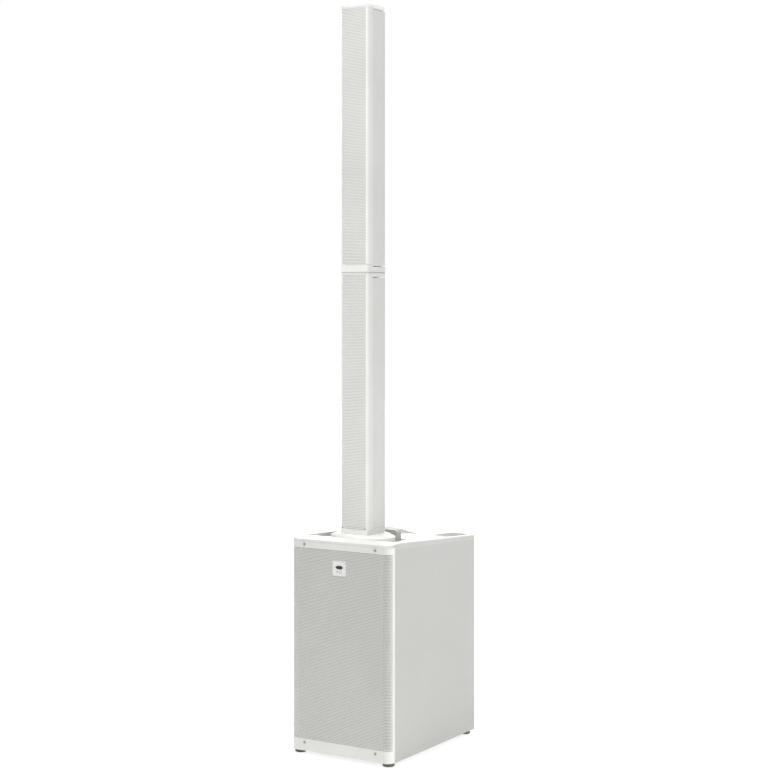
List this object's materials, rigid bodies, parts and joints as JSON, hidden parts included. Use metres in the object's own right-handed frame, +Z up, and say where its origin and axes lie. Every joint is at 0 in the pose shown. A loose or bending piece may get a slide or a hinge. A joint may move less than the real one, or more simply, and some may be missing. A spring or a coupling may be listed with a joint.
{
  "type": "column pa system",
  "caption": "Portable column loudspeaker: a subwoofer cabinet on rubber feet with a plug-in two-piece column of small drivers and a recessed rear control panel.",
  "frame": {"origin": "on the floor, under the middle of the object's bounding box", "axes": "+Z up along the column, the grilles face -Y, +X to the right seen from the front"},
  "size_m": [0.336, 0.4772, 2.131],
  "materials": {
    "cabinet_paint": "matt, finely textured white paint on plywood",
    "baffle_board": "black painted plywood",
    "black_plastic": "fine moulded texture",
    "frame_steel": "black powder coat",
    "magnet_ferrite": "ground ferrite",
    "black_rubber": "matt moulded rubber",
    "cone_black": "black fibre cone",
    "grille_steel": "white powder coat on perforated steel",
    "acoustic_foam": "open pale foam",
    "screw_steel": "dark zinc",
    "badge_metal": "pressed bright plate, left blank",
    "white_plastic": "satin moulded white",
    "contact_brass": "gilt",
    "panel_metal": "fine black powder coat",
    "heat_sink_aluminium": "black anodised",
    "circuit_board": "green solder mask",
    "rocker_red": "glossy red",
    "knob_plastic": "satin pale grey",
    "light_green": "clear green lens",
    "column_aluminium": "white powder coat on an extrusion",
    "wire_red": "insulated wire"
  },
  "bodies": {
    "subwoofer_base": {"cabinet_shell": "cabinet_paint", "front_baffle": "baffle_board", "port_tubes": "black_plastic", "woofer_frame": "frame_steel", "woofer_magnet": "magnet_ferrite", "woofer_surround": "black_rubber", "sub_grille": "grille_steel", "sub_grille_foam": "acoustic_foam", "grille_screws": "screw_steel", "badge_plate": "badge_metal", "top_cover": "white_plastic", "carry_handle": "white_plastic", "column_socket": "black_plastic", "socket_contacts": "contact_brass", "rubber_feet": "black_rubber", "foot_screws": "screw_steel", "rear_panel": "panel_metal", "rear_panel_screws": "screw_steel", "heat_sink": "heat_sink_aluminium", "amplifier_board": "circuit_board", "mains_inlet": "black_plastic", "combo_jacks": "black_plastic", "link_output": "black_plastic", "switch_frame": "black_plastic", "potentiometers": "screw_steel", "status_lights": "light_green"},
    "woofer_cone": {"woofer_cone": "cone_black"},
    "power_rocker": {"power_rocker": "rocker_red"},
    "input_knob_a": {"input_knob_a": "knob_plastic"},
    "input_knob_b": {"input_knob_b": "knob_plastic"},
    "sub_knob": {"sub_knob": "knob_plastic"},
    "master_knob": {"master_knob": "knob_plastic"},
    "mode_button": {"mode_button": "knob_plastic"},
    "pairing_button": {"pairing_button": "knob_plastic"},
    "jack_latch_a": {"jack_latch_a": "knob_plastic"},
    "jack_latch_b": {"jack_latch_b": "knob_plastic"},
    "lower_cones": {"lower_cones": "cone_black"},
    "upper_cones": {"upper_cones": "cone_black"},
    "lower_column": {"lower_foot_cap": "white_plastic", "lower_spigot_plug": "black_plastic", "lower_housing": "column_aluminium", "lower_grille": "grille_steel", "lower_foam": "acoustic_foam", "lower_baffle": "black_plastic", "lower_driver_frames": "frame_steel", "lower_driver_magnets": "magnet_ferrite", "lower_top_cap": "white_plastic", "lower_wiring": "wire_red", "lower_screws": "screw_steel"},
    "upper_column": {"upper_bottom_cap": "white_plastic", "upper_spigot_plug": "black_plastic", "upper_housing": "column_aluminium", "upper_grille": "grille_steel", "upper_foam": "acoustic_foam", "upper_baffle": "black_plastic", "upper_driver_frames": "frame_steel", "upper_driver_magnets": "magnet_ferrite", "upper_top_cap": "white_plastic", "upper_wiring": "wire_red", "upper_screws": "screw_steel"}
  },
  "joints": [
    {"name": "lower_column_lift", "type": "slide", "parent": "subwoofer_base", "child": "lower_column", "axis": [0, 0, 1], "range_m": [0, 0.09]},
    {"name": "upper_column_lift", "type": "slide", "parent": "lower_column", "child": "upper_column", "axis": [0, 0, 1], "range_m": [0, 0.06]},
    {"name": "woofer_travel", "type": "slide", "parent": "subwoofer_base", "child": "woofer_cone", "axis": [0, -1, 0], "range_m": [-0.005, 0.005], "stiffness_N_per_m": 3000},
    {"name": "lower_cones_travel", "type": "slide", "parent": "lower_column", "child": "lower_cones", "axis": [0, -1, 0], "range_m": [-0.0012, 0.0012], "stiffness_N_per_m": 4000},
    {"name": "upper_cones_travel", "type": "slide", "parent": "upper_column", "child": "upper_cones", "axis": [0, -1, 0], "range_m": [-0.0012, 0.0012], "stiffness_N_per_m": 4000},
    {"name": "power_rocker_tilt", "type": "hinge", "parent": "subwoofer_base", "child": "power_rocker", "pos_m": [-0.02, 0.2136, 0.241], "axis": [1, 0, 0], "range_deg": [0, 20]},
    {"name": "input_a_turn", "type": "hinge", "parent": "subwoofer_base", "child": "input_knob_a", "pos_m": [0.075, 0.2166, 0.409], "axis": [0, 1, 0], "range_deg": [-150, 150]},
    {"name": "input_b_turn", "type": "hinge", "parent": "subwoofer_base", "child": "input_knob_b", "pos_m": [0.025, 0.2166, 0.409], "axis": [0, 1, 0], "range_deg": [-150, 150]},
    {"name": "sub_turn", "type": "hinge", "parent": "subwoofer_base", "child": "sub_knob", "pos_m": [-0.025, 0.2166, 0.409], "axis": [0, 1, 0], "range_deg": [-150, 150]},
    {"name": "master_turn", "type": "hinge", "parent": "subwoofer_base", "child": "master_knob", "pos_m": [-0.075, 0.2166, 0.409], "axis": [0, 1, 0], "range_deg": [-150, 150]},
    {"name": "mode_press", "type": "slide", "parent": "subwoofer_base", "child": "mode_button", "axis": [0, -1, 0], "range_m": [0, 0.0015], "stiffness_N_per_m": 500},
    {"name": "pairing_press", "type": "slide", "parent": "subwoofer_base", "child": "pairing_button", "axis": [0, -1, 0], "range_m": [0, 0.0015], "stiffness_N_per_m": 500},
    {"name": "latch_a_press", "type": "slide", "parent": "subwoofer_base", "child": "jack_latch_a", "axis": [0, -1, 0], "range_m": [0, 0.0015], "stiffness_N_per_m": 500},
    {"name": "latch_b_press", "type": "slide", "parent": "subwoofer_base", "child": "jack_latch_b", "axis": [0, -1, 0], "range_m": [0, 0.0015], "stiffness_N_per_m": 500}
  ]
}
